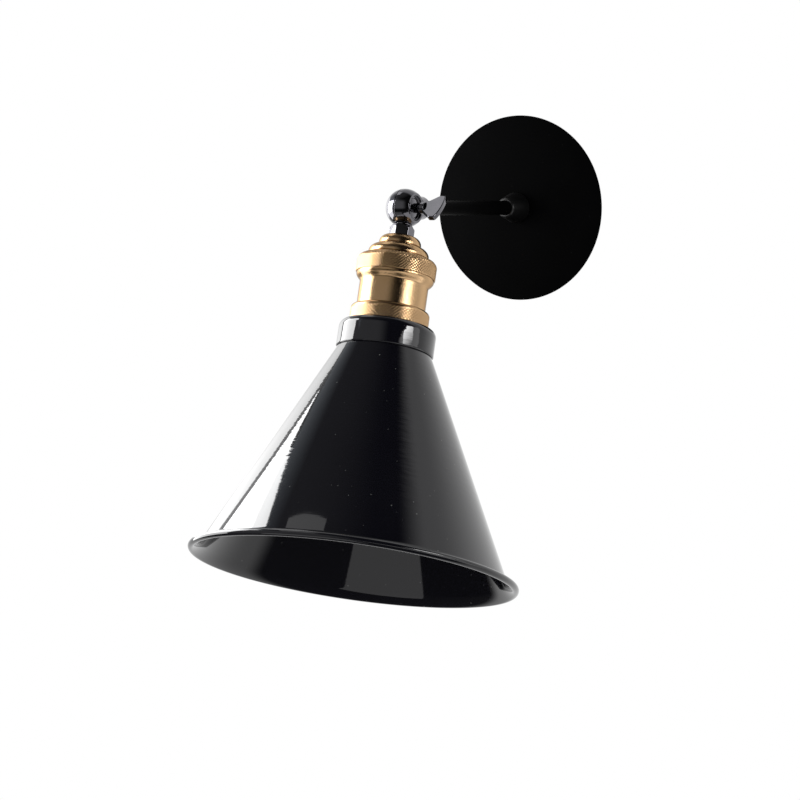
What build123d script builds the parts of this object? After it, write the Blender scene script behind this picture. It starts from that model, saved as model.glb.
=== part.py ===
from build123d import *
import math
import os

# Wall lamp: a round wall canopy, a straight arm, a split ball knuckle with a wing screw,
# a stepped brass lampholder and a spun cone shade with a rolled rim.
# Millimetres. The wall is the plane y = 0 and the origin is the middle of the canopy's back.
# -Y points out of the wall, +Z up, and the knuckle's hinge axis runs along X.

# Stance
ARM_REACH = 131.65       # wall to the knuckle's hinge axis
TILT_DEG = 16.4          # lamp axis from straight down, mouth away from the wall

# Clearances
RUN_CLEAR = 0.05         # radial play of threaded, sliding and turning fits
PLAY = 0.3               # gap between curved faces that pass each other
SEAT_GAP = 0.05          # gap between flat faces that are screwed together

# Wall canopy
CANOPY_R = 52.5
CANOPY_RISE = 5.0        # height of the flat seat above the wall
CANOPY_LIP = 1.2         # upright edge at the wall
CANOPY_WALL = 1.0
CANOPY_SEAT_R = 9.4

# Wall bracket behind the canopy
BRACKET_LENGTH = 74.0
BRACKET_WIDTH = 20.0
BRACKET_THICK = 1.5
SLOT_SPACING = 54.0
SLOT_WIDTH = 4.5
SLOT_LENGTH = 10.0
EARTH_SCREW_OFFSET = 14.0
EARTH_SCREW_R = 1.5
EARTH_HEAD_R = 2.6
EARTH_HEAD_H = 1.2

# Threaded wall nipple and its nut
WALL_NIPPLE_R = 5.0
WALL_NIPPLE_BORE_R = 3.4
WALL_NIPPLE_LENGTH = 13.0
WALL_NUT_FLATS = 14.0
WALL_NUT_H = 2.2

# Arm
BOSS_BASE_R = 8.6
BOSS_FRONT_R = 5.5
BOSS_LENGTH = 13.5
BOSS_FOOT_H = 1.8        # upright foot of the boss
BOSS_BEVEL = 0.6
ARM_R = 4.0
ARM_BORE_R = 3.0

# Split ball knuckle
BALL_R = 10.7
SEAM_X = -1.0            # plane between the two halves
SEAM_GAP = 0.3
BALL_FLAT_X = 6.9        # flat under the wing screw
RECESS_R = 6.9
RECESS_DEPTH = 1.6
CAVITY_R = 6.8           # hollow for the leads
CAVITY_WALL = 1.4        # left between the hollow and the recess
ARM_CAVITY_DEPTH = 4.0
NECK_FLOOR = 0.5         # either neck's wall between the ball and what screws into it
NECK_STUB_R = 5.0
NECK_STUB_START = 6.0
NECK_START = 10.0        # hinge axis to the first face of either neck
ARM_NECK_R = 6.5
ARM_NECK_END = 17.6
ARM_NECK_BEVEL = 0.8
LAMP_NECK_FLATS = 12.0
LAMP_NECK_END = 16.2
LAMP_NECK_BEVEL_H = 2.0
LAMP_NECK_TOP_R = 5.5
DISC_THICK = 0.5
DISC_WIDTH = 2.2         # friction disc, ring width
DISC_EDGE = 0.15         # play of the disc in its groove

# Wing screw
SCREW_R = 2.5
SCREW_TIP_X = -8.6
SCREW_TAP_EXTRA = 0.5    # tapped hole beyond the screw's tip
WASHER_R = 5.6
WASHER_THICK = 1.0
SPACER_R = 2.75          # plain shank under the collar
COLLAR_R = 3.4
COLLAR_X = 10.4
COLLAR_LENGTH = 2.6
WING_LENGTH = 10.4       # along the screw
WING_HALF_SPAN = 8.8
WING_ROOT_HALF = 2.8
WING_THICK = 3.0
WING_EDGE = 0.6
WING_INNER = 5.6         # collar to the wing's inner corner
WING_BULGE = 2.0         # bow of the wing's outer edge
WING_ROUND = 1.2
WING_TURN_DEG = 40.0     # wing from level, outer edge up at the wall side

# Lampholder, along the lamp axis from the hinge
NIPPLE_R = 4.0
NIPPLE_BORE_R = 2.9
CAP_PLATE = 1.2
CAP_WALL = 1.1
CAP_TOP_R = 7.0
STEP_ONE_R = 11.6
STEP_ONE_H = 5.3
STEP_TWO_R = 16.7
STEP_TWO_H = 6.1
STEP_EDGE = 0.9          # upright edge of each step
GROOVE = 0.5             # depth of the grooves between the steps
CAP_RING_R = 21.9
CAP_RING_H = 10.4
CAP_SHOULDER_H = 4.4
CAP_NUT_FLATS = 11.0
CAP_NUT_H = 3.0
BARREL_R = 18.9
BARREL_WALL = 1.2
BARREL_FLANGE_R = 21.4
BARREL_FLANGE_H = 5.0
BARREL_FLANGE_EDGE = 0.8
BARREL_SPIGOT = 6.4      # threaded length inside the cap
BARREL_SHOW = 19.3       # flange top to the shade ring
BARREL_TAIL = 12.0       # below the top of the shade
SHADE_RING_R = 21.7
SHADE_RING_H = 9.0
SHADE_RING_ROUND = 2.2
LOCK_RING_R = 22.4
LOCK_RING_H = 4.5

# Insulated core of the holder
CORE_FLANGE_H = 2.6
CORE_DEPTH = 20.0        # below the flange
SHELL_BORE_R = 13.5
SHELL_WALL = 0.5
SHELL_LENGTH = 27.0
SHELL_IN_CORE = 9.0
CONTACT_R = 3.2
CONTACT_RISE = 1.4       # of the contact above the shell's plate
CONTACT_LENGTH = 6.0
SHELL_HOLE_R = 5.5
TERMINAL_OFFSET = 9.0
TERMINAL_R = 1.5
TERMINAL_LENGTH = 7.0
TERMINAL_HEAD_R = 2.75
TERMINAL_HEAD_H = 1.8

# Shade
SHADE_WALL = 0.8
COLLAR_CUP_R = 26.8
COLLAR_CUP_H = 15.4
COLLAR_CUP_ROUND = 4.4
CONE_NECK_UP = 7.5       # cone's neck inside the collar
SHADE_HEIGHT = 136.0     # collar's top to the middle of the rim bead
CONE_FOOT_R = 83.3       # end of the straight wall
FLARE_DROP = 3.5         # end of the straight wall above the middle of the bead
BEAD_R = 88.15
BEAD_TUBE_R = 1.95
BEAD_OUTER_DEG = 250.0   # where the wall's outside meets the bead
BEAD_INNER_DEG = 190.0   # where the wall's inside meets the bead

# Bulb
BULB_CAP_R = 13.2
BULB_CAP_LENGTH = 22.0
BULB_TIP_R = 4.6
BULB_TIP_H = 2.2
BULB_GLASS_R = 30.0
BULB_GLASS_WALL = 1.0
BULB_GLASS_LENGTH = 84.0
BULB_NECK_R = 12.4
BULB_NECK_H = 14.0

# Leads
LEAD_R = 0.6
LEAD_SIDE = 2.1          # from the arm's and the lamp's axis, along X
LEAD_HALF_GAP = 0.7
LEAD_BEND_R = 1.0
LEAD_TURN_OUT = 5.0      # path's distance from the screw's axis
LEAD_ENTRY = 6.6         # hinge axis to the leads' ends in the ball
LEAD_STRAIGHT = 1.6      # straight run from there before the leads bend

# First free distance from the hinge past the other half ball's sweep
neck_floor = BALL_R + PLAY + NECK_FLOOR

# Places along the lamp axis
cap_top = LAMP_NECK_END
step_two_top = cap_top + STEP_ONE_H
ring_top = step_two_top + STEP_TWO_H
cap_end = ring_top + CAP_RING_H
barrel_top = cap_end + SEAT_GAP
shade_ring_top = barrel_top + BARREL_SHOW
shade_top = shade_ring_top + SHADE_RING_H
barrel_end = shade_top + BARREL_TAIL
spigot_top = barrel_top - BARREL_SPIGOT
core_top = spigot_top - CORE_FLANGE_H
core_end = spigot_top + CORE_DEPTH
shell_top = core_end - SHELL_IN_CORE
contact_top = shell_top + SHELL_WALL + CONTACT_RISE
bulb_tip = contact_top + SEAT_GAP
bulb_cap_top = bulb_tip + BULB_TIP_H
bulb_cap_end = bulb_cap_top + BULB_CAP_LENGTH
collar_end = shade_top + COLLAR_CUP_H
mouth = shade_top + SHADE_HEIGHT

# The three frames that the sub-parts are drawn in, each with its own axis along local Z
wall_frame = Rot(90, 0, 0)
hinge_place = Pos(0, -ARM_REACH, 0)
arm_neck_frame = hinge_place * Rot(-90, 0, 0)
lamp_frame = hinge_place * Rot(180 - TILT_DEG, 0, 0)

QUARTER = math.sqrt(0.5)


def at(radius, height):
    """A point of a turned profile."""
    return (radius, 0, height)


def straight(*points):
    return Polyline(*[at(*p) for p in points])


def shoulder(start, end):
    """Convex quarter round from a flat top out to an upright side."""
    middle = (start[0] + (end[0] - start[0]) * QUARTER, end[1] - (end[1] - start[1]) * QUARTER)
    return ThreePointArc(at(*start), at(*middle), at(*end))


def under_round(start, end):
    """Convex quarter round from an upright side in to a smaller one below it."""
    middle = (end[0] + (start[0] - end[0]) * QUARTER, start[1] + (end[1] - start[1]) * QUARTER)
    return ThreePointArc(at(*start), at(*middle), at(*end))


def turned(*profile):
    return revolve(make_face(profile), Axis.Z)


def tube(outer, inner, low, high):
    """A plain round tube or rod between two heights."""
    rod = Pos(0, 0, (low + high) / 2) * Cylinder(outer, high - low)
    if inner:
        rod -= Pos(0, 0, (low + high) / 2) * Cylinder(inner, high - low)
    return rod


def rod_along_x(radius, low, high):
    return Pos((low + high) / 2, 0, 0) * Rot(0, 90, 0) * Cylinder(radius, high - low)


def hex_nut(flats, bore, low, high):
    """Six-sided nut with one pair of flats square to X."""
    blank = extrude(RegularPolygon(flats / 2, 6, major_radius=False, rotation=30), high - low)
    return Pos(0, 0, low) * blank - tube(bore, 0, low, high)


def wire(points):
    """A round lead along straight runs with bent corners."""
    path = FilletPolyline(*points, radius=LEAD_BEND_R) if len(points) > 2 else Line(*points)
    section = Plane(path @ 0, z_dir=path % 0) * Circle(LEAD_R)
    return sweep(section, path=path)


# Wall side

def canopy():
    """Shallow spun dome with an upright lip and a flat seat for the arm's boss."""
    seat_under = CANOPY_RISE - CANOPY_WALL
    inner_r = CANOPY_R - CANOPY_WALL
    span = CANOPY_R - CANOPY_SEAT_R

    def dome(outer_r, low, high):
        """Arc from the edge to the seat, level where it meets the seat."""
        middle_r = CANOPY_SEAT_R + (outer_r - CANOPY_SEAT_R) / 2
        middle_h = high - (high - low) * ((middle_r - CANOPY_SEAT_R) / span) ** 2
        return ThreePointArc(at(outer_r, low), at(middle_r, middle_h), at(CANOPY_SEAT_R, high))

    hole = WALL_NIPPLE_R + RUN_CLEAR
    profile = [
        straight((inner_r, 0), (CANOPY_R, 0), (CANOPY_R, CANOPY_LIP)),
        dome(CANOPY_R, CANOPY_LIP, CANOPY_RISE),
        straight((CANOPY_SEAT_R, CANOPY_RISE), (hole, CANOPY_RISE), (hole, seat_under),
                 (CANOPY_SEAT_R, seat_under)),
        dome(inner_r, 0, seat_under),
    ]
    return wall_frame * turned(*profile)


def wall_bracket():
    """Flat bar with two slots for the wall screws and a tapped middle."""
    bar = extrude(SlotOverall(BRACKET_LENGTH, BRACKET_WIDTH), BRACKET_THICK)
    for side in (-1, 1):
        slot = extrude(SlotOverall(SLOT_LENGTH, SLOT_WIDTH), BRACKET_THICK)
        bar -= Pos(side * SLOT_SPACING / 2, 0, 0) * slot
    bar -= tube(WALL_NIPPLE_R + RUN_CLEAR, 0, 0, BRACKET_THICK)
    bar -= Pos(EARTH_SCREW_OFFSET, 0, 0) * tube(EARTH_SCREW_R + RUN_CLEAR, 0, 0, BRACKET_THICK)
    return wall_frame * bar


def earth_screw():
    head = tube(EARTH_HEAD_R, 0, BRACKET_THICK, BRACKET_THICK + EARTH_HEAD_H)
    screw = head + tube(EARTH_SCREW_R, 0, 0, BRACKET_THICK)
    return wall_frame * Pos(EARTH_SCREW_OFFSET, 0, 0) * screw


def bracket_nipple():
    return wall_frame * tube(WALL_NIPPLE_R, WALL_NIPPLE_BORE_R, 0, WALL_NIPPLE_LENGTH)


def bracket_nut():
    nut = hex_nut(WALL_NUT_FLATS, WALL_NIPPLE_R + RUN_CLEAR, BRACKET_THICK, BRACKET_THICK + WALL_NUT_H)
    return wall_frame * nut


def arm_boss():
    """Tapered boss that screws onto the nipple and holds the canopy to the wall."""
    low = CANOPY_RISE
    high = CANOPY_RISE + BOSS_LENGTH
    socket = ARM_R + RUN_CLEAR
    tapped = WALL_NIPPLE_R + RUN_CLEAR
    floor = WALL_NIPPLE_LENGTH + SEAT_GAP
    profile = straight(
        (tapped, low), (BOSS_BASE_R, low), (BOSS_BASE_R, low + BOSS_FOOT_H),
        (BOSS_FRONT_R, high - BOSS_BEVEL), (BOSS_FRONT_R - BOSS_BEVEL, high), (socket, high),
        (socket, floor), (tapped, floor), (tapped, low))
    return wall_frame * turned(profile)


def arm_tube():
    low = WALL_NIPPLE_LENGTH + SEAT_GAP
    high = ARM_REACH - neck_floor
    return wall_frame * tube(ARM_R, ARM_BORE_R, low, high)


# Knuckle, drawn with the ball at the origin and the neck along local Z

def half_ball(side, neck, far_x, cavity_x):
    """One half of the split ball with its neck. side is the half's side of the seam along X."""
    face_x = SEAM_X + side * SEAM_GAP / 2
    low, high = sorted((face_x, far_x))
    block = Pos((low + high) / 2, 0, 0) * Box(high - low, 4 * BALL_R, 4 * BALL_R)
    half = Sphere(BALL_R) & block
    stub = tube(NECK_STUB_R, 0, NECK_STUB_START, NECK_START + SEAT_GAP)
    sweep_low, sweep_high = sorted((face_x, face_x - side * 4 * BALL_R))
    other_half = rod_along_x(BALL_R + PLAY, sweep_low, sweep_high)
    half = half + ((stub + neck) - other_half)
    hollow_low, hollow_high = sorted((face_x, cavity_x))
    return half - rod_along_x(CAVITY_R, hollow_low, hollow_high)


def knuckle_arm_half():
    """Half ball on the arm: tapped for the wing screw, grooved for the friction disc."""
    bevel = ARM_NECK_BEVEL
    neck = turned(straight(
        (0, NECK_START), (ARM_NECK_R - bevel, NECK_START), (ARM_NECK_R, NECK_START + bevel),
        (ARM_NECK_R, ARM_NECK_END - bevel), (ARM_NECK_R - bevel, ARM_NECK_END), (0, ARM_NECK_END),
        (0, NECK_START)))
    face_x = SEAM_X - SEAM_GAP / 2
    half = half_ball(-1, neck, -BALL_R, face_x - ARM_CAVITY_DEPTH)
    half -= tube(ARM_R + RUN_CLEAR, 0, neck_floor, ARM_NECK_END)
    half -= tube(ARM_BORE_R, 0, 0, neck_floor)
    half -= rod_along_x(SCREW_R + RUN_CLEAR, SCREW_TIP_X - SCREW_TAP_EXTRA, face_x)
    groove_r = CAVITY_R + DISC_WIDTH + 2 * DISC_EDGE
    groove_floor = face_x - (DISC_THICK - SEAM_GAP)
    half -= rod_along_x(groove_r, groove_floor, face_x)
    return arm_neck_frame * half


def friction_disc():
    """Fibre ring that the two half balls are clamped on."""
    inner = CAVITY_R + DISC_EDGE
    high = SEAM_X + SEAM_GAP / 2
    ring = rod_along_x(inner + DISC_WIDTH, high - DISC_THICK, high)
    ring -= rod_along_x(inner, high - DISC_THICK, high)
    return hinge_place * ring


def knuckle_lamp_half():
    """Half ball on the lamp: six-sided neck, flat and recess under the wing screw."""
    blank = extrude(RegularPolygon(LAMP_NECK_FLATS / 2, 6, major_radius=False, rotation=30),
                    LAMP_NECK_END - NECK_START)
    corner = LAMP_NECK_FLATS / math.sqrt(3) + RUN_CLEAR
    bevel_end = NECK_START + LAMP_NECK_BEVEL_H
    trim = turned(straight(
        (0, NECK_START), (LAMP_NECK_TOP_R, NECK_START), (corner, bevel_end), (corner, LAMP_NECK_END),
        (0, LAMP_NECK_END), (0, NECK_START)))
    neck = (Pos(0, 0, NECK_START) * blank) & trim
    recess_floor = BALL_FLAT_X - RECESS_DEPTH
    half = half_ball(1, neck, BALL_FLAT_X, recess_floor - CAVITY_WALL)
    half -= tube(NIPPLE_R + RUN_CLEAR, 0, neck_floor, LAMP_NECK_END)
    half -= tube(NIPPLE_BORE_R, 0, 0, neck_floor)
    half -= rod_along_x(RECESS_R, recess_floor, BALL_FLAT_X)
    half -= rod_along_x(SCREW_R + RUN_CLEAR, 0, recess_floor)
    return lamp_frame * half


def clamp_washer():
    """Washer in the recess, under the wing screw's plain shank."""
    low = BALL_FLAT_X - RECESS_DEPTH
    high = low + WASHER_THICK
    ring = rod_along_x(WASHER_R, low, high) - rod_along_x(SCREW_R + RUN_CLEAR, low, high)
    return hinge_place * ring


def wing_screw():
    """Thumb screw: thread, plain shank, collar and a flat fan-shaped wing."""
    washer_top = BALL_FLAT_X - RECESS_DEPTH + WASHER_THICK
    collar_end_x = COLLAR_X + COLLAR_LENGTH
    wing_end = collar_end_x + WING_LENGTH
    screw = rod_along_x(SCREW_R, SCREW_TIP_X, washer_top)
    screw += rod_along_x(SPACER_R, washer_top, COLLAR_X)
    screw += rod_along_x(COLLAR_R, COLLAR_X, collar_end_x)
    root_x = collar_end_x - COLLAR_LENGTH / 2
    inner_x = collar_end_x + WING_INNER
    outer_x = wing_end - WING_BULGE
    outline = [
        Polyline((outer_x, -WING_HALF_SPAN), (inner_x, -WING_HALF_SPAN), (root_x, -WING_ROOT_HALF),
                 (root_x, WING_ROOT_HALF), (inner_x, WING_HALF_SPAN), (outer_x, WING_HALF_SPAN)),
        ThreePointArc((outer_x, WING_HALF_SPAN), (wing_end, 0), (outer_x, -WING_HALF_SPAN)),
    ]
    blade = make_face(outline)
    tips = [v for v in blade.vertices() if abs(v.Y) > WING_ROOT_HALF * 1.01]
    blade = fillet(tips, WING_ROUND)
    wing = extrude(blade, WING_THICK / 2, both=True)
    wing = chamfer(wing.faces().filter_by(Axis.Z).edges(), WING_EDGE)
    return hinge_place * (screw + Rot(WING_TURN_DEG, 0, 0) * wing)


# Lamp side, drawn with the hinge at the origin and the lamp axis along local Z

def neck_nipple():
    high = cap_top + CAP_PLATE + CAP_NUT_H
    return lamp_frame * tube(NIPPLE_R, NIPPLE_BORE_R, neck_floor, high)


def cap_nut():
    low = cap_top + CAP_PLATE
    return lamp_frame * hex_nut(CAP_NUT_FLATS, NIPPLE_R + RUN_CLEAR, low, low + CAP_NUT_H)


def holder_cap():
    """Stepped brass cap: two domes and a broad rim ring that screws onto the barrel."""
    hole = NIPPLE_R + RUN_CLEAR
    thread = BARREL_R + RUN_CLEAR
    step_one_side = step_two_top - STEP_EDGE
    step_two_side = ring_top - STEP_EDGE
    ring_side = ring_top + CAP_SHOULDER_H
    outside = [
        straight((hole, cap_top), (CAP_TOP_R, cap_top)),
        shoulder((CAP_TOP_R, cap_top), (STEP_ONE_R, step_one_side)),
        straight((STEP_ONE_R, step_one_side), (STEP_ONE_R, step_two_top),
                 (STEP_ONE_R - GROOVE, step_two_top), (STEP_ONE_R - GROOVE, step_two_top + GROOVE)),
        shoulder((STEP_ONE_R - GROOVE, step_two_top + GROOVE), (STEP_TWO_R, step_two_side)),
        straight((STEP_TWO_R, step_two_side), (STEP_TWO_R, ring_top), (STEP_TWO_R - GROOVE, ring_top),
                 (STEP_TWO_R - GROOVE, ring_top + GROOVE)),
        shoulder((STEP_TWO_R - GROOVE, ring_top + GROOVE), (CAP_RING_R, ring_side)),
        straight((CAP_RING_R, ring_side), (CAP_RING_R, cap_end)),
    ]
    inner_one = STEP_ONE_R - GROOVE - CAP_WALL
    inner_two = STEP_TWO_R - GROOVE - CAP_WALL
    under_plate = cap_top + CAP_PLATE
    inside = [
        straight((CAP_RING_R, cap_end), (thread, cap_end), (thread, core_top), (inner_two, core_top),
                 (inner_two, step_two_side)),
        shoulder((inner_one, step_two_top + GROOVE + CAP_WALL), (inner_two, step_two_side)),
        straight((inner_one, step_two_top + GROOVE + CAP_WALL), (inner_one, step_one_side)),
        shoulder((CAP_TOP_R, under_plate), (inner_one, step_one_side)),
        straight((CAP_TOP_R, under_plate), (hole, under_plate), (hole, cap_top)),
    ]
    return lamp_frame * turned(*outside, *inside)


def holder_barrel():
    """Brass barrel: threaded spigot in the cap, rounded flange, threaded tail through the shade."""
    bore = BARREL_R - BARREL_WALL
    flange_side = barrel_top + BARREL_FLANGE_EDGE
    flange_end = barrel_top + BARREL_FLANGE_H
    profile = [
        straight((bore, spigot_top), (BARREL_R, spigot_top), (BARREL_R, barrel_top),
                 (BARREL_FLANGE_R, barrel_top), (BARREL_FLANGE_R, flange_side)),
        under_round((BARREL_FLANGE_R, flange_side), (BARREL_R, flange_end)),
        straight((BARREL_R, flange_end), (BARREL_R, barrel_end), (bore, barrel_end), (bore, spigot_top)),
    ]
    return lamp_frame * turned(*profile)


def insulator_core():
    """Ceramic insert, clamped by its flange between the cap and the barrel's spigot."""
    flange_r = BARREL_R
    body_r = BARREL_R - BARREL_WALL - RUN_CLEAR
    core = tube(flange_r, 0, core_top + SEAT_GAP, spigot_top)
    core += tube(body_r, 0, core_top + SEAT_GAP, core_end)
    core -= tube(SHELL_BORE_R + SHELL_WALL + RUN_CLEAR, 0, shell_top, core_end)
    core -= tube(CONTACT_R + RUN_CLEAR, 0, contact_top - CONTACT_LENGTH, core_end)
    for side in (-1, 1):
        screw_hole = tube(TERMINAL_R + RUN_CLEAR, 0, core_top, core_top + SEAT_GAP + TERMINAL_LENGTH)
        core -= Pos(side * TERMINAL_OFFSET, 0, 0) * screw_hole
    return lamp_frame * core


def terminal_screws():
    """Two screws on the ceramic insert that take the leads."""
    low = core_top + SEAT_GAP
    screws = []
    for side in (-1, 1):
        screw = tube(TERMINAL_HEAD_R, 0, low - TERMINAL_HEAD_H, low)
        screw += tube(TERMINAL_R, 0, low, low + TERMINAL_LENGTH - SEAT_GAP)
        screws.append(lamp_frame * Pos(side * TERMINAL_OFFSET, 0, 0) * screw)
    return Compound(children=screws)


def screw_shell():
    """Thin cup that takes the bulb's cap."""
    outer = SHELL_BORE_R + SHELL_WALL
    cup = tube(outer, 0, shell_top, shell_top + SHELL_LENGTH)
    cup -= tube(SHELL_BORE_R, 0, shell_top + SHELL_WALL, shell_top + SHELL_LENGTH)
    cup -= tube(SHELL_HOLE_R, 0, shell_top, shell_top + SHELL_WALL)
    return lamp_frame * cup


def centre_contact():
    return lamp_frame * tube(CONTACT_R, 0, contact_top - CONTACT_LENGTH, contact_top)


def shade_ring():
    """Broad ring on the barrel's thread, above the shade."""
    bore = BARREL_R + RUN_CLEAR
    low = shade_ring_top
    inset = SHADE_RING_R - SHADE_RING_ROUND
    profile = [
        straight((bore, low), (inset, low)),
        shoulder((inset, low), (SHADE_RING_R, low + SHADE_RING_ROUND)),
        straight((SHADE_RING_R, low + SHADE_RING_ROUND), (SHADE_RING_R, shade_top), (bore, shade_top),
                 (bore, low)),
    ]
    return lamp_frame * turned(*profile)


def shade_lock_ring():
    """Ring below the shade's top that clamps it up against the outer ring."""
    low = shade_top + SHADE_WALL
    return lamp_frame * tube(LOCK_RING_R, BARREL_R + RUN_CLEAR, low, low + LOCK_RING_H)


def shade_collar():
    """Cup-shaped top of the shade, with the hole for the barrel."""
    hole = BARREL_R + PLAY
    flat = COLLAR_CUP_R - COLLAR_CUP_ROUND
    side = shade_top + COLLAR_CUP_ROUND
    bore = COLLAR_CUP_R - SHADE_WALL
    under = shade_top + SHADE_WALL
    profile = [
        straight((hole, shade_top), (flat, shade_top)),
        shoulder((flat, shade_top), (COLLAR_CUP_R, side)),
        straight((COLLAR_CUP_R, side), (COLLAR_CUP_R, collar_end), (bore, collar_end), (bore, side)),
        shoulder((flat, under), (bore, side)),
        straight((flat, under), (hole, under), (hole, shade_top)),
    ]
    return lamp_frame * turned(*profile)


def shade_cone():
    """Spun cone: a neck inside the collar, a straight wall, a short flare and a rolled bead."""
    neck_r = COLLAR_CUP_R - SHADE_WALL - RUN_CLEAR
    neck_top = collar_end - CONE_NECK_UP
    foot = mouth - FLARE_DROP
    slope = math.atan2(CONE_FOOT_R - neck_r, foot - collar_end)
    run = (math.sin(slope), math.cos(slope))
    into = (-SHADE_WALL * run[1], SHADE_WALL * run[0])
    foot_in = (CONE_FOOT_R + into[0], foot + into[1])
    corner_in = (neck_r - SHADE_WALL, collar_end + SHADE_WALL * math.tan(slope / 2))

    def on_bead(degrees):
        turn = math.radians(degrees)
        return at(BEAD_R + BEAD_TUBE_R * math.cos(turn), mouth + BEAD_TUBE_R * math.sin(turn))

    far_side = on_bead((BEAD_OUTER_DEG + BEAD_INNER_DEG) / 2 - 180)
    profile = [
        straight((neck_r - SHADE_WALL, neck_top), (neck_r, neck_top), (neck_r, collar_end),
                 (CONE_FOOT_R, foot)),
        TangentArc(at(CONE_FOOT_R, foot), on_bead(BEAD_OUTER_DEG), tangent=at(*run)),
        ThreePointArc(on_bead(BEAD_OUTER_DEG), far_side, on_bead(BEAD_INNER_DEG)),
        TangentArc(at(*foot_in), on_bead(BEAD_INNER_DEG), tangent=at(*run)),
        straight(foot_in, corner_in, (neck_r - SHADE_WALL, neck_top)),
    ]
    return lamp_frame * turned(*profile)


def bulb_base():
    """Black insulating cone and solder tip of the bulb's cap."""
    profile = straight(
        (0, bulb_tip), (BULB_TIP_R, bulb_tip), (BULB_CAP_R - BULB_TIP_H, bulb_cap_top), (0, bulb_cap_top),
        (0, bulb_tip))
    return lamp_frame * turned(profile)


def bulb_cap():
    return lamp_frame * tube(BULB_CAP_R, BULB_NECK_R + RUN_CLEAR, bulb_cap_top, bulb_cap_end)


def bulb_glass():
    """Opal envelope: a neck in the cap, widening to a ball."""
    low = bulb_cap_end - BULB_NECK_H
    tip = bulb_cap_end + BULB_GLASS_LENGTH
    centre = tip - BULB_GLASS_R

    def envelope(inset):
        ball_r = BULB_GLASS_R - inset
        neck_r = BULB_NECK_R - inset
        join = centre - ball_r * QUARTER
        flank = Spline(at(neck_r, bulb_cap_end), at(ball_r * QUARTER, join), tangents=[(0, 0, 1), (1, 0, 1)])
        cap = ThreePointArc(at(ball_r * QUARTER, join), at(ball_r, centre), at(0, centre + ball_r))
        return turned(straight((0, low), (neck_r, low), (neck_r, bulb_cap_end)), flank, cap,
                      straight((0, centre + ball_r), (0, low)))

    return lamp_frame * (envelope(0) - envelope(BULB_GLASS_WALL))


# Leads, two each, from the wall nipple to the holder's terminals

def arm_leads():
    """Straight leads through the wall nipple and the arm into the ball."""
    leads = []
    for side in (-1, 1):
        start = (-LEAD_SIDE, side * LEAD_HALF_GAP, 0)
        end = (-LEAD_SIDE, side * LEAD_HALF_GAP, ARM_REACH - LEAD_ENTRY)
        leads.append(wall_frame * wire([start, end]))
    return Compound(children=leads)


def knuckle_leads():
    """Short loops inside the ball, from the arm's side of the screw to the lamp's side."""
    tilt = math.radians(TILT_DEG)
    down = Vector(0, -math.sin(tilt), -math.cos(tilt))
    outer = Vector(0, -math.cos(tilt), math.sin(tilt))
    corner = (Vector(0, 1, 0) + down).normalized()
    leads = []
    for side in (-1, 1):
        arm_side = Vector(-LEAD_SIDE, 0, side * LEAD_HALF_GAP)
        lamp_side = Vector(LEAD_SIDE, 0, 0) + outer * (side * LEAD_HALF_GAP)
        turn = corner * (LEAD_TURN_OUT - side * LEAD_HALF_GAP)
        route = [
            arm_side + Vector(0, LEAD_ENTRY, 0),
            arm_side + Vector(0, LEAD_ENTRY - LEAD_STRAIGHT, 0),
            Vector(-LEAD_SIDE, 0, 0) + turn,
            Vector(LEAD_SIDE, 0, 0) + turn,
            lamp_side + down * (LEAD_ENTRY - LEAD_STRAIGHT),
            lamp_side + down * LEAD_ENTRY,
        ]
        leads.append(hinge_place * wire(route))
    return Compound(children=leads)


def head_leads():
    """Leads from the ball down the neck nipple, spread to the two terminal screws."""
    spread = cap_top + CAP_PLATE + CAP_NUT_H + LEAD_BEND_R
    end_t = core_top - TERMINAL_HEAD_H / 2
    leads = []
    for side in (-1, 1):
        reach = side * (TERMINAL_OFFSET - TERMINAL_HEAD_R)
        route = [
            (LEAD_SIDE, side * LEAD_HALF_GAP, LEAD_ENTRY),
            (LEAD_SIDE, side * LEAD_HALF_GAP, spread),
            (reach - side * LEAD_R, side * LEAD_HALF_GAP, end_t),
        ]
        leads.append(lamp_frame * wire(route))
    return Compound(children=leads)


NODES = [
    canopy, wall_bracket, earth_screw, bracket_nipple, bracket_nut, arm_boss, arm_tube,
    knuckle_arm_half, friction_disc, knuckle_lamp_half, clamp_washer, wing_screw,
    neck_nipple, cap_nut, holder_cap, holder_barrel, insulator_core, terminal_screws,
    screw_shell, centre_contact, shade_ring, shade_lock_ring, shade_collar, shade_cone,
    bulb_base, bulb_cap, bulb_glass, arm_leads, knuckle_leads, head_leads,
]

os.makedirs("parts", exist_ok=True)
for make in NODES:
    export_step(make(), f"parts/{make.__name__}.step")
print(f"{len(NODES)} nodes written")
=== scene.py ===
# %% [markdown]
# # A wall lamp: round canopy, straight arm, ball knuckle, brass holder, cone shade
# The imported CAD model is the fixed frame. Its nodes already stand in the right place, so every
# piece made here is drawn in the same frame, in metres, and then rides on one of the CAD bodies.
# The wall is the plane y = 0, -Y points into the room and the knuckle's hinge runs along X.

# %% Load the frame
import math

import bmesh
import bpy
from mathutils import Matrix, Vector


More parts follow.
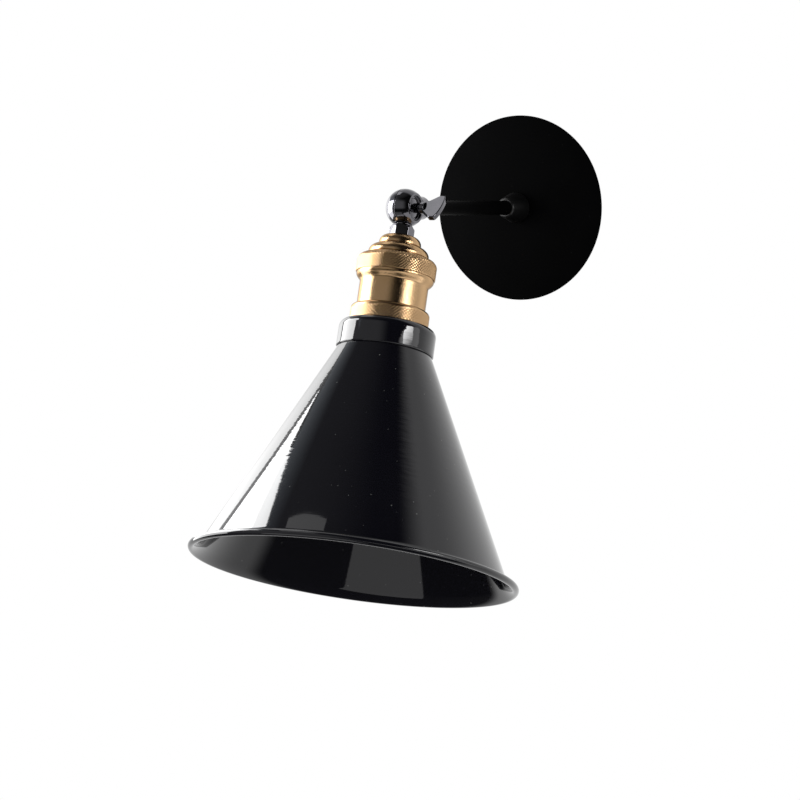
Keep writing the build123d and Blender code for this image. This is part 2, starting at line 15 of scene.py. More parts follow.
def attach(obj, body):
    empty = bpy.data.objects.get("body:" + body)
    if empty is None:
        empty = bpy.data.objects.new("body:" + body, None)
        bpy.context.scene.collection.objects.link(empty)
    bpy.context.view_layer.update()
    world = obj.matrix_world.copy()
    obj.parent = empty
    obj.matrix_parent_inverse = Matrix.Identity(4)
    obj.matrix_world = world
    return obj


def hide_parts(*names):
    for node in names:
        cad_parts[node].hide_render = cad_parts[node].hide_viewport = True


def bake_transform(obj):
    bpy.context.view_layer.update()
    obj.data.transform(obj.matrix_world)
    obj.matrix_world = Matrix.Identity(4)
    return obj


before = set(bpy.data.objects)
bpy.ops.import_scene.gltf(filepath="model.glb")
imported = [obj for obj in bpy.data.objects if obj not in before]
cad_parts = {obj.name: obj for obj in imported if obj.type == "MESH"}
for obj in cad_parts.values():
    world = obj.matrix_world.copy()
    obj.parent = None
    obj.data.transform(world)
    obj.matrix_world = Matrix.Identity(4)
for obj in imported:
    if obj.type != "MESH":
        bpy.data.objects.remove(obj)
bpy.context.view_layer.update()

scene = bpy.context.scene
scene.view_settings.view_transform = "Standard"

# %% [markdown]
# ## Camera
# The photograph was taken with a long lens from the lamp's right front, a little above it. The
# three axes below were fitted to the outlines of the canopy, the ball and the shade's mouth.

# %% Camera at the photograph's place
LENS = 225.0
SENSOR_WIDTH = 36.0
CLIP_NEAR, CLIP_FAR = 0.1, 50.0
CAMERA_PLACE = Vector((1.36488, -2.50361, 0.00274))
CAMERA_RIGHT = Vector((0.86623, 0.49964, -0.00278))
CAMERA_UP = Vector((-0.01724, 0.03545, 0.99922))
CAMERA_BACK = Vector((0.49935, -0.86551, 0.03933))
camera_data = bpy.data.cameras.new("photo_camera")
camera_data.lens = LENS
camera_data.sensor_width = SENSOR_WIDTH
camera_data.clip_start, camera_data.clip_end = CLIP_NEAR, CLIP_FAR
camera = bpy.data.objects.new("photo_camera", camera_data)
scene.collection.objects.link(camera)
camera_turn = Matrix((CAMERA_RIGHT, CAMERA_UP, CAMERA_BACK)).transposed()
camera.matrix_world = Matrix.Translation(CAMERA_PLACE) @ camera_turn.to_4x4()
scene.camera = camera
print("camera", round(LENS), "mm, at", [round(x, 3) for x in CAMERA_PLACE])

# %% [markdown]
# ## Frames and profiles
# Almost every piece of this lamp was turned or spun, so it is a profile revolved about one of
# three axes: the arm's, the lamp's or the hinge's. Profiles are lists of (radius, height) in
# millimetres, taken from the CAD dimensions, and `softened` breaks their corners as a real edge
# is broken, because that thin round is what catches the light.

# %% Axes and profile helpers
MM = 0.001
ARM_REACH = 131.65
TILT_DEG = 16.4
HINGE = Vector((0.0, -ARM_REACH * MM, 0.0))
LAMP_TURN = math.radians(180.0 - TILT_DEG)
WALL_TURN = math.radians(90.0)
ARM_NECK_TURN = math.radians(-90.0)
HINGE_TURN = math.radians(90.0)
WALL_FRAME = Matrix.Rotation(WALL_TURN, 4, "X")
LAMP_FRAME = Matrix.Translation(HINGE) @ Matrix.Rotation(LAMP_TURN, 4, "X")
ARM_NECK_FRAME = Matrix.Translation(HINGE) @ Matrix.Rotation(ARM_NECK_TURN, 4, "X")
HINGE_FRAME = Matrix.Translation(HINGE) @ Matrix.Rotation(HINGE_TURN, 4, "Y")
EDGE = 0.25                       # radius of a broken corner
SUPPORT = 0.12                    # from a broken corner to its support point
KEEP_TURN = math.radians(24.0)    # a corner that turns less than this stays
SIDE_SHARE = 0.45                 # the most that a corner may take of its shorter side
SAME_POINT = 1e-4


def quarter(start, end, steps=10, under=False):
    """Points of an elliptic quarter: a convex shoulder, or one that turns in below a side."""
    (r0, h0), (r1, h1) = start, end
    found = []
    for step in range(steps + 1):
        turn = math.pi / 2 * step / steps
        if under:
            found.append((r1 + (r0 - r1) * math.cos(turn), h0 + (h1 - h0) * math.sin(turn)))
        else:
            found.append((r0 + (r1 - r0) * math.sin(turn), h0 + (h1 - h0) * (1 - math.cos(turn))))
    return found


def ogee(start, end, bulge, steps=16):
    """Points of a double curve along the axis: a long bulge first, then a short hollow."""
    (r0, h0), (r1, h1) = start, end
    found = []
    for step in range(steps + 1):
        share = step / steps
        bent = share ** bulge
        found.append((r0 + (r1 - r0) * bent * bent * (3 - 2 * bent), h0 + (h1 - h0) * share))
    return found


def softened(corners, edge=EDGE, steps=3, closed=True):
    """Break each sharp corner of a profile, with support points beside it for flat shading."""
    points = [Vector(c) for c in corners]
    points = [p for i, p in enumerate(points)
              if i == 0 or (p - points[i - 1]).length > SAME_POINT]
    count = len(points)
    found = []
    for i, here in enumerate(points):
        if not closed and i in (0, count - 1):
            found.append(here)
            continue
        back = points[i - 1] - here
        ahead = points[(i + 1) % count] - here
        turn = math.pi - back.angle(ahead)
        if turn < KEEP_TURN:
            found.append(here)
            continue
        room = SIDE_SHARE * min(back.length, ahead.length)
        cut = min(edge * math.tan(turn / 2), room)
        first = here + back.normalized() * cut
        last = here + ahead.normalized() * cut
        if cut + SUPPORT < room:
            found.append(here + back.normalized() * (cut + SUPPORT))
        for step in range(steps + 1):
            share = step / steps
            found.append(first.lerp(here, share).lerp(here.lerp(last, share), share))
        if cut + SUPPORT < room:
            found.append(here + ahead.normalized() * (cut + SUPPORT))
    if closed:
        found.append(found[0])
    return [tuple(p) for p in found]


print("hinge at", [round(1000 * x, 2) for x in HINGE], "mm, lamp tilted", TILT_DEG, "degrees")

# %% [markdown]
# ## A short hand for node trees
# Shader trees and geometry trees are wired the same way: add a node, feed its sockets with a
# value or another socket. This small class keeps the later cells readable. A Mix node has sockets
# for every kind of value, and most share a name, so those are found by their numbers.

# %% Wiring helper
MIX_SOCKETS = {"FLOAT": (2, 3, 0), "RGBA": (6, 7, 2)}


class Wiring:
    """Adds nodes to one tree and links them."""

    def __init__(self, tree):
        self.tree = tree

    def feed(self, socket, value):
        """Link another socket to this one, or set its plain value."""
        if isinstance(value, bpy.types.NodeSocket):
            self.tree.links.new(value, socket)
        else:
            socket.default_value = value

    def fill(self, node, inputs):
        """Feed a node's sockets, given by name or by number."""
        for key, value in inputs.items():
            named = [s for s in node.inputs if s.name == key and s.enabled]
            self.feed(named[0] if named else node.inputs[key], value)

    def add(self, kind, inputs=None, **settings):
        """A new node with its settings and inputs."""
        node = self.tree.nodes.new(kind)
        for key, value in settings.items():
            setattr(node, key, value)
        self.fill(node, inputs or {})
        return node

    def math(self, operation, *values):
        node = self.add("ShaderNodeMath", dict(enumerate(values)), operation=operation)
        return node.outputs[0]

    def vector(self, x, y, z):
        return self.add("ShaderNodeCombineXYZ", {"X": x, "Y": y, "Z": z}).outputs[0]

    def parts(self, vector):
        """The separate X, Y and Z of a vector."""
        return self.add("ShaderNodeSeparateXYZ", {"Vector": vector}).outputs

    def mix(self, kind, share, first, second):
        """A value or a colour between two, by their share."""
        node = self.add("ShaderNodeMix", data_type=kind)
        first_at, second_at, result_at = MIX_SOCKETS[kind]
        self.fill(node, {0: share, first_at: first, second_at: second})
        return node.outputs[result_at]


def new_group(name, kind, inputs, output):
    """A node group with named sockets: its wiring, its inputs and the inputs' identifiers."""
    tree = bpy.data.node_groups.new(name, kind)
    identifiers = {}
    for title, holds in inputs.items():
        made = tree.interface.new_socket(title, in_out="INPUT", socket_type="NodeSocket" + holds)
        identifiers[title] = made.identifier
    title, holds = output
    tree.interface.new_socket(title, in_out="OUTPUT", socket_type="NodeSocket" + holds)
    w = Wiring(tree)
    return w, w.add("NodeGroupInput").outputs, identifiers


print("wiring helper ready, for mixes of", " and ".join(MIX_SOCKETS))

# %% [markdown]
# ## Geometry Nodes: turn a profile
# A lathe follows one rule, so one tree serves every turned piece. It makes a grid with a row for
# each point of the profile and a column for each step of the turn, looks up the profile point by
# its row, and swings it round the axis. Merging by distance closes the seam and the poles.

# %% The turning tree
SEAM_GAP = 2e-6


def looked_up(w, source, field, row):
    """The separate X, Y and Z of a field on a chain of points, at a row."""
    found = w.add("GeometryNodeSampleIndex", {
        "Geometry": source, "Value": field, "Index": row}, data_type="FLOAT_VECTOR")
    return w.parts(found.outputs[0])


def swung(w, out, swing, up):
    """A vector that reaches out from the axis, swung round it."""
    return w.vector(w.math("MULTIPLY", out, w.math("COSINE", swing)),
                    w.math("MULTIPLY", out, w.math("SINE", swing)), up)


def hand_out(w, geometry, material):
    """End a tree: make its instances real, set the material and give the result out."""
    real = w.add("GeometryNodeRealizeInstances", {"Geometry": geometry})
    dressed = w.add("GeometryNodeSetMaterial", {
        "Geometry": real.outputs[0], "Material": material})
    w.add("NodeGroupOutput", {"Geometry": dressed.outputs[0]})
    print(w.tree.name, "has", len(w.tree.nodes), "nodes")


w, given, TURNING_IDS = new_group("Turned piece", "GeometryNodeTree", {
    "Profile": "Geometry", "Segments": "Int", "Material": "Material"}, ("Geometry", "Geometry"))
turning = w.tree
profile_size = w.add("GeometryNodeAttributeDomainSize", {"Geometry": given["Profile"]})
points = profile_size.outputs["Point Count"]
grid = w.add("GeometryNodeMeshGrid", {
    "Vertices X": w.math("ADD", given["Segments"], 1.0), "Vertices Y": points})
index = w.add("GeometryNodeInputIndex").outputs[0]
column = w.math("FLOOR", w.math("DIVIDE", index, points))
row = w.math("SUBTRACT", index, w.math("MULTIPLY", column, points))
spot = looked_up(w, given["Profile"], w.add("GeometryNodeInputPosition").outputs[0], row)
swing = w.math("DIVIDE", w.math("MULTIPLY", column, math.tau), given["Segments"])
moved = w.add("GeometryNodeSetPosition", {
    "Geometry": grid.outputs["Mesh"], "Position": swung(w, spot["X"], swing, spot["Z"])})
closed = w.add("GeometryNodeMergeByDistance", {
    "Geometry": moved.outputs[0], "Distance": SEAM_GAP})
hand_out(w, closed.outputs[0], given["Material"])

# %% [markdown]
# A tree's result only exists while its modifier does. `settle` keeps the evaluated mesh and drops
# the modifier, and `closed_skin` points the faces outwards, smooths them and keeps true corners
# sharp. Afterwards the place of the piece is in its mesh and its object stays at the origin.

# %% From a profile to a finished mesh
SHARP = math.radians(38.0)
SAME_VERTEX = 1e-6


def settle(piece):
    """Swap a piece's live modifiers for the plain mesh that they make."""
    evaluated = piece.evaluated_get(bpy.context.evaluated_depsgraph_get())
    made = bpy.data.meshes.new_from_object(evaluated)
    piece.modifiers.clear()
    piece.data = made
    return piece


def new_piece(name, data):
    piece = bpy.data.objects.new(name, data)
    scene.collection.objects.link(piece)
    return piece


def closed_skin(piece, matrix=Matrix.Identity(4)):
    """Outward faces, smooth shading with sharp corners, and the place put into the mesh."""
    work = bmesh.new()
    work.from_mesh(piece.data)
    bmesh.ops.remove_doubles(work, verts=work.verts, dist=SAME_VERTEX)
    bmesh.ops.recalc_face_normals(work, faces=work.faces)
    work.transform(matrix)
    work.to_mesh(piece.data)
    work.free()
    piece.data.polygons.foreach_set("use_smooth", [True] * len(piece.data.polygons))
    piece.data.set_sharp_from_angle(angle=SHARP)
    return piece


def flat_faces(piece):
    """Shade by face area, so that broad flat faces stay flat beside small bevels."""
    modifier = piece.modifiers.new("normals", "WEIGHTED_NORMAL")
    modifier.keep_sharp = True
    return settle(piece)


def tree_piece(name, tree, values, profile):
    """A profile chain with a node tree on it, settled into a mesh."""
    chain = bpy.data.meshes.new(name)
    chain.from_pydata([(r * MM, 0.0, h * MM) for r, h in profile],
                      [(i, i + 1) for i in range(len(profile) - 1)], [])
    piece = new_piece(name, chain)
    modifier = piece.modifiers.new(tree.name, "NODES")
    modifier.node_group = tree
    for identifier, value in values.items():
        modifier[identifier] = value
    return settle(piece)


def turned(name, profile, matrix, material, segments=192):
    """A profile revolved about its axis, put in place."""
    piece = tree_piece(name, turning, {
        TURNING_IDS["Segments"]: segments, TURNING_IDS["Material"]: material}, profile)
    return closed_skin(piece, matrix)


def stands_for(piece, body, slot, *nodes):
    """The piece rides on its body and hides the CAD nodes it stands for; slot is not used."""
    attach(piece, body)
    if nodes:
        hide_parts(*nodes)
    faces = sum(len(p.vertices) - 2 for p in piece.data.polygons)
    print(f"{piece.name}: {faces} triangles, on {body}")


print("corners that turn more than", round(math.degrees(SHARP)), "degrees stay sharp")

# %% [markdown]
# ## Shared surface effects
# Paint, plating and brass differ in colour but share small faults: a slow drift in gloss from
# handling, the waviness of a sprayed or spun skin, and a few specks of dust. Each fault is a node
# group with named sockets, so every finish can use it at its own scale.

# %% Node groups for surface faults
RING_SQUEEZE = (0.16, 0.16, 1.0)      # draws the noise out across the axis, into rings
RARE = 4.0                            # a higher power makes fewer large specks


def drift_group():
    """Slow cloudy drift, for tone and gloss."""
    w, given, _ = new_group("Handling drift", "ShaderNodeTree", {
        "Vector": "Vector", "Scale": "Float"}, ("Mask", "Float"))
    cloud = w.add("ShaderNodeTexNoise", {
        "Vector": given["Vector"], "Scale": given["Scale"], "Detail": 4.0, "Roughness": 0.6})
    spread = w.add("ShaderNodeMapRange", {
        "Value": cloud.outputs[0], "From Min": 0.3, "From Max": 0.7})
    w.add("NodeGroupOutput", {"Mask": spread.outputs[0]})
    return w.tree


def waviness_group():
    """Height of a wavy skin in micrometres: sprayed peel, and rings left by spinning."""
    w, given, _ = new_group("Skin waviness", "ShaderNodeTree", {
        "Vector": "Vector", "Peel Scale": "Float", "Peel Height": "Float", "Ring Scale": "Float",
        "Ring Height": "Float"}, ("Height", "Float"))
    peel = w.add("ShaderNodeTexNoise", {
        "Vector": given["Vector"], "Scale": given["Peel Scale"], "Detail": 1.5})
    squeezed = w.add("ShaderNodeVectorMath", {
        0: given["Vector"], 1: RING_SQUEEZE}, operation="MULTIPLY")
    rings = w.add("ShaderNodeTexNoise", {
        "Vector": squeezed.outputs[0], "Scale": given["Ring Scale"], "Detail": 2.0})
    height = w.math("ADD", w.math("MULTIPLY", peel.outputs[0], given["Peel Height"]),
                    w.math("MULTIPLY", rings.outputs[0], given["Ring Height"]))
    w.add("NodeGroupOutput", {"Height": height})
    return w.tree


def dust_group():
    """A mask of sparse specks."""
    w, given, _ = new_group("Dust specks", "ShaderNodeTree", {
        "Vector": "Vector", "Scale": "Float", "Size": "Float"}, ("Mask", "Float"))
    cells = w.add("ShaderNodeTexVoronoi", {"Vector": given["Vector"], "Scale": given["Scale"]})
    chance = w.add("ShaderNodeSeparateColor", {"Color": cells.outputs["Color"]})
    reach = w.math("MULTIPLY", given["Size"], w.math("POWER", chance.outputs["Red"], RARE))
    w.add("NodeGroupOutput", {"Mask": w.math("LESS_THAN", cells.outputs["Distance"], reach)})
    return w.tree


DRIFT, WAVES, DUST = drift_group(), waviness_group(), dust_group()
print("groups:", ", ".join(g.name for g in (DRIFT, WAVES, DUST)))

# %% [markdown]
# ## One recipe for a finish
# Each finish mixes two close tones through the drift mask, moves its roughness with the same
# drift, adds dust on top and turns the waviness into a bump. A Mapping node brings the Object
# coordinates into the frame of the axis that the piece was turned on, so rings run round it.

# %% Finish recipe
MICRON = 1e-6
AXES = {
    "lamp": (HINGE, (LAMP_TURN, 0.0, 0.0)),
    "wall": (Vector((0.0, 0.0, 0.0)), (WALL_TURN, 0.0, 0.0)),
    "hinge": (HINGE, (0.0, HINGE_TURN, 0.0)),
}
FINISHES = {}


def finish(name, tones, gloss, axis="lamp", metallic=0.0, ior=1.5, edge=1.0, coat=0.0,
           coat_gloss=0.03, drift=30.0, peel=(200.0, 0.0), rings=(300.0, 0.0), dust=None,
           dust_tone=0.1, calm=None):
    """Make a finish and keep it under its name. gloss is the roughness at the drift's two ends.

    edge is how bright a metal stays where it is seen at a glancing angle.
    peel and rings are (scale, height in micrometres), and dust is (scale, size).
    calm is (start, end, rest): along the axis, the waves fade from full at start to rest at end.
    """
    material = bpy.data.materials.new(name)
    material.use_nodes = True
    w = Wiring(material.node_tree)
    centre, turn = AXES[axis]
    mapped = w.add("ShaderNodeMapping", {
        "Vector": w.add("ShaderNodeTexCoord").outputs["Object"], "Location": centre,
        "Rotation": turn}, vector_type="TEXTURE").outputs[0]
    cloud = w.add("ShaderNodeGroup", {"Vector": mapped, "Scale": drift}, node_tree=DRIFT)
    mask = cloud.outputs["Mask"]
    colour = w.mix("RGBA", mask, (*tones[0], 1.0), (*tones[1], 1.0))
    if dust:
        specks = w.add("ShaderNodeGroup", {
            "Vector": mapped, "Scale": dust[0], "Size": dust[1]}, node_tree=DUST)
        grey = (dust_tone, dust_tone, dust_tone, 1.0)
        colour = w.mix("RGBA", specks.outputs["Mask"], colour, grey)
    rough = w.add("ShaderNodeMapRange", {"Value": mask, "To Min": gloss[0], "To Max": gloss[1]})
    waves = w.add("ShaderNodeGroup", {
        "Vector": mapped, "Peel Scale": peel[0], "Peel Height": peel[1], "Ring Scale": rings[0],
        "Ring Height": rings[1]}, node_tree=WAVES)
    height = waves.outputs["Height"]
    if calm:
        start, end, rest = calm
        kept = w.add("ShaderNodeMapRange", {
            "Value": w.parts(mapped)["Z"], "From Min": start, "From Max": end, "To Min": 1.0,
            "To Max": rest})
        height = w.math("MULTIPLY", height, kept.outputs[0])
    bump = w.add("ShaderNodeBump", {"Height": height, "Distance": MICRON})
    w.fill(material.node_tree.nodes["Principled BSDF"], {
        "Base Color": colour, "Roughness": rough.outputs[0], "Metallic": metallic, "IOR": ior,
        "Specular Tint": (edge, edge, edge, 1.0), "Coat Weight": coat,
        "Coat Roughness": coat_gloss, "Normal": bump.outputs[0]})
    material.diffuse_color = (*tones[0], 1.0)
    FINISHES[name] = material


print("a finish can run along these axes:", ", ".join(AXES))

# %% [markdown]
# ## The finishes
# The shade is glossy black enamel with a blue cast, and its spun wall ripples the reflections. The
# holder is satin brass, gone brown in places. Knuckle and wing screw are black nickel. The arm is
# satin black paint, a little glossier on its boss, and the canopy is a matte powder coat that
# swallows nearly all light. The rest is inside the lamp or behind the canopy.

# %% Make the materials
ARM_PAINT = ((0.0015, 0.0015, 0.0017), (0.0028, 0.0028, 0.003))
finish("shade_black", ((0.0036, 0.0035, 0.0062), (0.005, 0.0049, 0.0078)), (0.035, 0.06), ior=1.6,
       drift=18.0, peel=(170.0, 28.0), rings=(520.0, 38.0), dust=(300.0, 0.13), dust_tone=0.12,
       calm=(0.155, 0.186, 0.15))
finish("holder_brass", ((0.55, 0.355, 0.185), (0.59, 0.39, 0.215)), (0.11, 0.15), metallic=1.0,
       edge=0.45, drift=60.0, peel=(900.0, 3.0), rings=(5200.0, 55.0))
finish("black_nickel", ((0.125, 0.125, 0.135), (0.155, 0.15, 0.165)), (0.07, 0.12), axis="hinge",
       metallic=1.0, drift=90.0, peel=(300.0, 4.0))
finish("arm_black", ARM_PAINT, (0.4, 0.5), axis="wall", ior=1.07, drift=50.0, peel=(700.0, 5.0))
finish("boss_black", ARM_PAINT, (0.34, 0.4), axis="wall", drift=50.0, peel=(700.0, 5.0))
finish("canopy_black", ((0.0012, 0.0012, 0.0014), (0.002, 0.002, 0.0022)), (0.5, 0.62),
       axis="wall", ior=1.05, drift=35.0, peel=(1600.0, 6.0), dust=(350.0, 0.12), dust_tone=0.01)
finish("zinc_steel", ((0.5, 0.51, 0.52), (0.6, 0.6, 0.59)), (0.24, 0.4), axis="wall",
       metallic=1.0, drift=120.0, peel=(900.0, 3.0))
finish("plain_brass", ((0.72, 0.54, 0.25), (0.78, 0.6, 0.32)), (0.2, 0.34), metallic=1.0,
       drift=150.0, peel=(900.0, 2.0))
finish("nickel_shell", ((0.66, 0.65, 0.61), (0.74, 0.73, 0.7)), (0.16, 0.3), metallic=1.0,
       drift=120.0, rings=(1500.0, 3.0))
finish("porcelain", ((0.82, 0.81, 0.76), (0.88, 0.87, 0.84)), (0.12, 0.22), drift=80.0,
       peel=(500.0, 4.0))
finish("fibre", ((0.13, 0.07, 0.045), (0.19, 0.11, 0.07)), (0.7, 0.85), axis="hinge",
       drift=200.0, peel=(1500.0, 20.0))
finish("black_glass", ((0.015, 0.015, 0.018), (0.025, 0.025, 0.03)), (0.1, 0.18), drift=120.0,
       peel=(400.0, 3.0))
finish("opal_glass", ((0.86, 0.85, 0.81), (0.9, 0.89, 0.86)), (0.2, 0.28), coat=0.4,
       coat_gloss=0.08, drift=40.0, peel=(120.0, 5.0))
finish("lead_sleeve", ((0.05, 0.05, 0.05), (0.08, 0.08, 0.08)), (0.35, 0.5), axis="wall",
       drift=200.0, peel=(2000.0, 6.0))
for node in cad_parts.values():
    for index, old in enumerate(list(node.data.materials)):
        node.data.materials[index] = FINISHES[old.name.split(".")[0]]
print(len(FINISHES), "finishes, on", len(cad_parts), "CAD nodes")

# %% [markdown]
# ## The shade
# The real shade is spun from steel sheet: a small cup, and a cone whose neck sits inside it and
# whose mouth flares and rolls into a bead. The profile has both sides of the sheet, so the inside
# is a true wall. The flare and the roll are arcs that leave the wall without a kink.

# %% Shade collar and cone
SHEET = 0.8
SHADE_TOP = 66.35
COLLAR_BORE = 19.2
COLLAR_FLAT = 22.4            # where its flat top ends
COLLAR_R = 26.8
COLLAR_SHOULDER = 70.75
COLLAR_END = 81.75
COLLAR_LIP = (0.7, 0.9)       # rounding of its lower edge, in and up
NECK_R = 25.95
NECK_TOP = 74.25
FOOT = (83.3, 198.85)
BEAD = (88.15, 202.35)
BEAD_TUBE = 1.95
BEAD_STEPS = 36
OUTER_JOIN, INNER_JOIN = -110.0, 119.5
WALL_SUPPORT = 0.6


def leaving(start, heading, end, steps=8):
    """Points of the arc that leaves start along heading and ends at end.

    A support point on the straight wall comes before it.
    """
    start, end = Vector(start), Vector(end)
    side = Vector((-heading.y, heading.x))
    chord = end - start
    radius = chord.length_squared / (2 * chord.dot(side))
    centre = start + side * radius
    first = math.atan2(start.y - centre.y, start.x - centre.x)
    last = math.atan2(end.y - centre.y, end.x - centre.x)
    sweep = (last - first + math.pi) % math.tau - math.pi
    turns = [first + sweep * k / steps for k in range(steps + 1)]
    arc = [(centre.x + abs(radius) * math.cos(t), centre.y + abs(radius) * math.sin(t))
           for t in turns]
    return [tuple(start - heading * WALL_SUPPORT)] + arc


def on_bead(degrees):
    turn = math.radians(degrees)
    return (BEAD[0] + BEAD_TUBE * math.cos(turn), BEAD[1] + BEAD_TUBE * math.sin(turn))


slope = math.atan2(FOOT[0] - NECK_R, FOOT[1] - COLLAR_END)
down_wall = Vector((math.sin(slope), math.cos(slope)))
foot_in = (FOOT[0] - SHEET * down_wall.y, FOOT[1] + SHEET * down_wall.x)
bead_turn = INNER_JOIN - OUTER_JOIN
roll = [on_bead(OUTER_JOIN + bead_turn * k / BEAD_STEPS) for k in range(BEAD_STEPS + 1)]
cone_profile = softened(
    [(NECK_R - SHEET, NECK_TOP), (NECK_R, NECK_TOP), (NECK_R, COLLAR_END)]
    + leaving(FOOT, down_wall, on_bead(OUTER_JOIN)) + roll
    + leaving(foot_in, down_wall, on_bead(INNER_JOIN))[::-1]
    + [(NECK_R - SHEET, COLLAR_END + SHEET * math.tan(slope / 2))], edge=0.3)
shade_cone = turned(
    "shade_cone_spun", cone_profile, LAMP_FRAME, FINISHES["shade_black"], segments=288)
stands_for(shade_cone, "lamp_head", "shade_black", "shade_cone")

collar_in = COLLAR_R - SHEET
lip_start = (COLLAR_R, COLLAR_END - COLLAR_LIP[1])
lip_end = (COLLAR_R - COLLAR_LIP[0], COLLAR_END)
collar_profile = softened(
    [(COLLAR_BORE, SHADE_TOP)] + quarter((COLLAR_FLAT, SHADE_TOP), (COLLAR_R, COLLAR_SHOULDER))
    + quarter(lip_start, lip_end, under=True) + [(collar_in, COLLAR_END)]
    + quarter((COLLAR_FLAT, SHADE_TOP + SHEET), (collar_in, COLLAR_SHOULDER))[::-1]
    + [(COLLAR_BORE, SHADE_TOP + SHEET)], edge=0.4)
shade_collar = turned(
    "shade_collar_spun", collar_profile, LAMP_FRAME, FINISHES["shade_black"], segments=224)
stands_for(shade_collar, "lamp_head", "shade_black", "shade_collar")

# %% [markdown]
# ## The brass holder
# Cap, barrel and shade ring are turned brass. The cap steps out in two domes to a broad ring, and
# thin grooves part the steps. The ring and the shade ring carry a fine diamond knurl, so their
# bands are turned a little smaller here to make room for it.

# %% Cap, barrel and rings
KNURL = 0.13            # depth of the knurl
CAP_R = 21.9
NECK_HOLE = 4.05        # for the nipple between knuckle and cap
RING_R = 21.7
LOCK_R = 22.4
BARREL_R = 18.9
BARREL_BORE = 17.7
FLANGE_R = 21.4
ON_BARREL = 18.95       # bore of the rings that sit on the barrel
KNURL_FROM = 7          # the cap's last dome is plain up to this point
last_dome = quarter((16.2, 28.1), (CAP_R, 32.0), steps=14)
cap_profile = softened(
    [(NECK_HOLE, 16.2)] + quarter((7.0, 16.2), (11.6, 20.6)) + [(11.6, 21.5), (11.1, 21.5)]
    + quarter((11.1, 22.0), (16.7, 26.7)) + [(16.7, 27.6), (16.2, 27.6)] + last_dome[:KNURL_FROM]
    + [(r - KNURL, h) for r, h in last_dome[KNURL_FROM:]]
    + [(CAP_R - KNURL, 38.5), (21.6, 38.8), (ON_BARREL, 38.8), (ON_BARREL, 29.05)]
    + [(15.1, 29.05), (15.1, 26.7), (10.0, 23.1), (10.0, 20.6), (7.0, 17.4), (NECK_HOLE, 17.4)],
    edge=0.2)
holder_cap = turned("holder_cap_turned", cap_profile, LAMP_FRAME, FINISHES["holder_brass"])
stands_for(holder_cap, "lamp_head", "holder_brass", "holder_cap")

barrel_profile = softened(
    [(BARREL_BORE, 31.65), (BARREL_R, 31.65), (BARREL_R, 38.85), (FLANGE_R, 38.85)]
    + ogee((FLANGE_R, 39.4), (BARREL_R, 43.9), bulge=1.25)
    + [(BARREL_R, 78.35), (BARREL_BORE, 78.35)], edge=0.25)
holder_barrel = turned("holder_barrel_turned", barrel_profile, LAMP_FRAME, FINISHES["holder_brass"])
stands_for(holder_barrel, "lamp_head", "holder_brass", "holder_barrel")

ring_profile = softened(
    [(ON_BARREL, 57.35)] + quarter((19.5, 57.35), (RING_R, 59.55))
    + [(RING_R - KNURL, 59.6), (RING_R - KNURL, 65.9), (RING_R, 65.95), (RING_R, SHADE_TOP),
       (ON_BARREL, SHADE_TOP)], edge=0.2)
shade_ring = turned("shade_ring_turned", ring_profile, LAMP_FRAME, FINISHES["holder_brass"])
stands_for(shade_ring, "lamp_head", "holder_brass", "shade_ring")

lock_profile = softened(
    [(ON_BARREL, 67.15), (LOCK_R, 67.15), (LOCK_R, 71.65), (ON_BARREL, 71.65)], edge=0.5)
lock_ring = turned("shade_lock_ring_turned", lock_profile, LAMP_FRAME, FINISHES["holder_brass"])
stands_for(lock_ring, "lamp_head", "holder_brass", "shade_lock_ring")

# %% [markdown]
# ## Geometry Nodes: diamond knurl
# A knurl is hundreds of equal pyramids in staggered rows, pressed in by two cross-cut wheels. The
# tree resamples the band's profile into rows, spreads points round each row, shifts every second
# row by half a pitch, and sets a flat-topped pyramid on each point, stretched to meet the next.

# %% The knurling tree
TOOTH_FLAT = 0.56       # share of a tooth's width that its flat top has
w, given, KNURL_IDS = new_group("Diamond knurl", "GeometryNodeTree", {
    "Band": "Geometry", "Rows": "Int", "Around": "Int", "Depth": "Float",
    "Material": "Material"}, ("Geometry", "Geometry"))
knurling = w.tree
around = given["Around"]
band = w.add("GeometryNodeMeshToCurve", {"Mesh": given["Band"]}).outputs[0]
rows = w.add("GeometryNodeResampleCurve", {"Curve": band, "Count": given["Rows"]}).outputs[0]
spots = w.add("GeometryNodePoints", {"Count": w.math("MULTIPLY", given["Rows"], around)})
index = w.add("GeometryNodeInputIndex").outputs[0]
row = w.math("FLOOR", w.math("DIVIDE", index, around))
column = w.math("SUBTRACT", index, w.math("MULTIPLY", row, around))
spot = looked_up(w, rows, w.add("GeometryNodeInputPosition").outputs[0], row)
along = looked_up(w, rows, w.add("GeometryNodeInputTangent").outputs[0], row)
stagger = w.math("MULTIPLY", w.math("MODULO", row, 2.0), 0.5)
swing = w.math("DIVIDE", w.math("MULTIPLY", w.math("ADD", column, stagger), math.tau), around)
placed = w.add("GeometryNodeSetPosition", {
    "Geometry": spots.outputs[0], "Position": swung(w, spot["X"], swing, spot["Z"])})
outward = swung(w, along["Z"], swing, w.math("MULTIPLY", along["X"], -1.0))
sideways = w.vector(w.math("MULTIPLY", w.math("SINE", swing), -1.0), w.math("COSINE", swing), 0.0)
stand = w.add("FunctionNodeAlignRotationToVector", {"Vector": outward}, axis="Z")
stand = w.add("FunctionNodeAlignRotationToVector", {
    "Rotation": stand.outputs[0], "Vector": sideways}, axis="X", pivot_axis="Z")
half_pitch = w.math("DIVIDE", w.math("MULTIPLY", spot["X"], math.pi), around)
step = w.math("DIVIDE", w.add("GeometryNodeCurveLength", {"Curve": band}).outputs[0],
              w.math("SUBTRACT", given["Rows"], 1.0))
